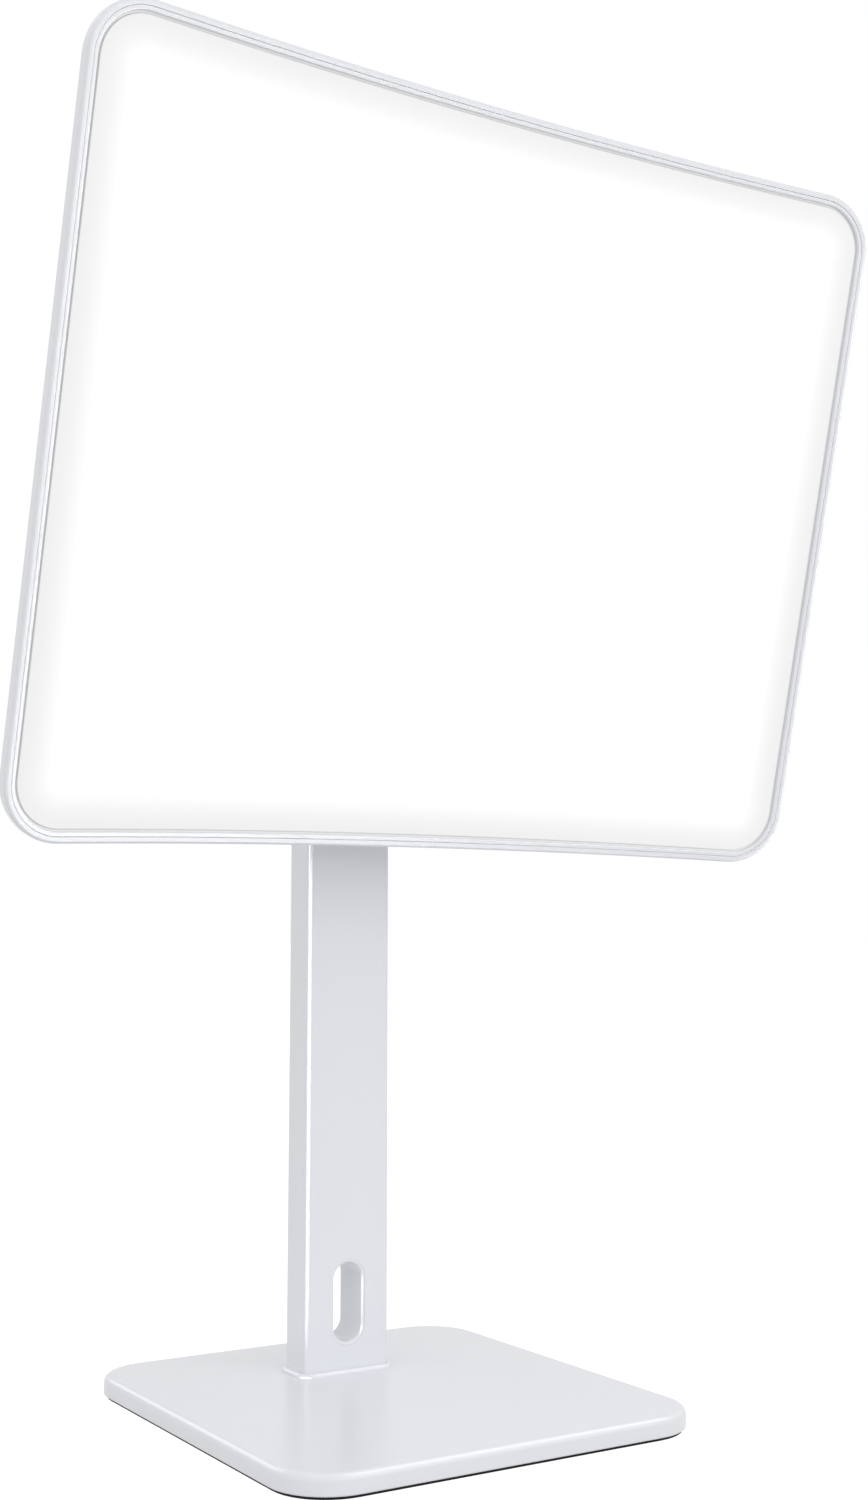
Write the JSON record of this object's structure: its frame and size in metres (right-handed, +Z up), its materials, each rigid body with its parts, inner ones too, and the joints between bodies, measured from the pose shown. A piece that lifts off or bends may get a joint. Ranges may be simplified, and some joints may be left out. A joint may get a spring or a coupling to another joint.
{
  "type": "light therapy lamp",
  "caption": "Daylight lamp: wide concave light panel on a short friction-hinged swing arm, rectangular post with a cable slot, and a weighted flat base.",
  "frame": {"origin": "middle of the base's underside", "axes": "+Z up along the post, -Y towards the side the light panel faces, +X to the right when looking along +Y at the lit face"},
  "size_m": [0.4, 0.2269, 0.5676],
  "materials": {
    "white_shell": "fine satin moulded ABS, cool white",
    "white_trim": "smoother white ABS trim",
    "white_coated_metal": "satin white powder coat",
    "opal_diffuser": "opal acrylic, matt front",
    "zinc_plated_steel": "zinc plated",
    "bare_steel": "oiled blank steel plate",
    "cast_aluminium": "die-cast, as cast",
    "led_board": "aluminium board, white solder mask",
    "foam_pad": "black closed-cell foam rubber",
    "friction_washer": "filled acetal",
    "key_cap": "satin white ABS",
    "circuit_board": "green solder mask",
    "black_plastic": "black moulded plastic",
    "reflector": "white reflector film",
    "flex_circuit": "polyimide film",
    "led_lens": "phosphor under clear silicone"
  },
  "bodies": {
    "stand": {"base_pad": "foam_pad", "base_weight": "bare_steel", "base_cover": "white_shell", "base_screws": "zinc_plated_steel", "foot_collar": "white_shell", "post": "white_coated_metal", "post_foot_block": "bare_steel", "post_screws": "zinc_plated_steel", "cable_slot_liner": "white_trim", "post_yoke": "white_coated_metal", "yoke_screws": "zinc_plated_steel", "post_hinge_bolt": "zinc_plated_steel", "post_hinge_washers": "friction_washer", "post_hinge_springs": "zinc_plated_steel", "post_hinge_nut": "zinc_plated_steel", "post_hinge_caps": "white_trim"},
    "arm": {"arm_core": "cast_aluminium", "arm_cover_left": "white_shell", "arm_cover_right": "white_shell", "arm_screws": "zinc_plated_steel"},
    "panel": {"head_bracket": "white_coated_metal", "head_hinge_bolt": "zinc_plated_steel", "head_hinge_washers": "friction_washer", "head_hinge_springs": "zinc_plated_steel", "head_hinge_nut": "zinc_plated_steel", "head_hinge_caps": "white_trim", "bracket_screws": "zinc_plated_steel", "backing_plate": "zinc_plated_steel", "hub_cover": "white_shell", "hub_screws": "zinc_plated_steel", "control_board": "circuit_board", "board_components": "black_plastic", "tact_switches": "black_plastic", "board_screws": "zinc_plated_steel", "dc_jack": "black_plastic", "rear_cover": "white_shell", "front_frame": "white_shell", "frame_screws": "zinc_plated_steel", "diffuser_bead": "white_trim", "diffuser": "opal_diffuser", "reflector_sheet": "reflector", "led_boards": "led_board", "leds": "led_lens", "bus_flex": "flex_circuit", "led_connector": "black_plastic"},
    "power_key": {"power_button": "key_cap"},
    "brightness_key": {"brightness_button": "key_cap"}
  },
  "joints": [
    {"name": "arm_swing", "type": "hinge", "parent": "stand", "child": "arm", "pos_m": [0, 0.0443, 0.3857], "axis": [-1, 0, 0], "range_deg": [-8, 50]},
    {"name": "panel_tilt", "type": "hinge", "parent": "arm", "child": "panel", "pos_m": [0, -0.03727, 0.41539], "axis": [1, 0, 0], "range_deg": [-40, 10]},
    {"name": "power_press", "type": "slide", "parent": "panel", "child": "power_key", "axis": [-0.0342, -0.9676, -0.2502], "range_m": [0, 0.0006], "stiffness_N_per_m": 1000},
    {"name": "brightness_press", "type": "slide", "parent": "panel", "child": "brightness_key", "axis": [-0.0342, -0.9676, -0.2502], "range_m": [0, 0.0006], "stiffness_N_per_m": 1000}
  ]
}
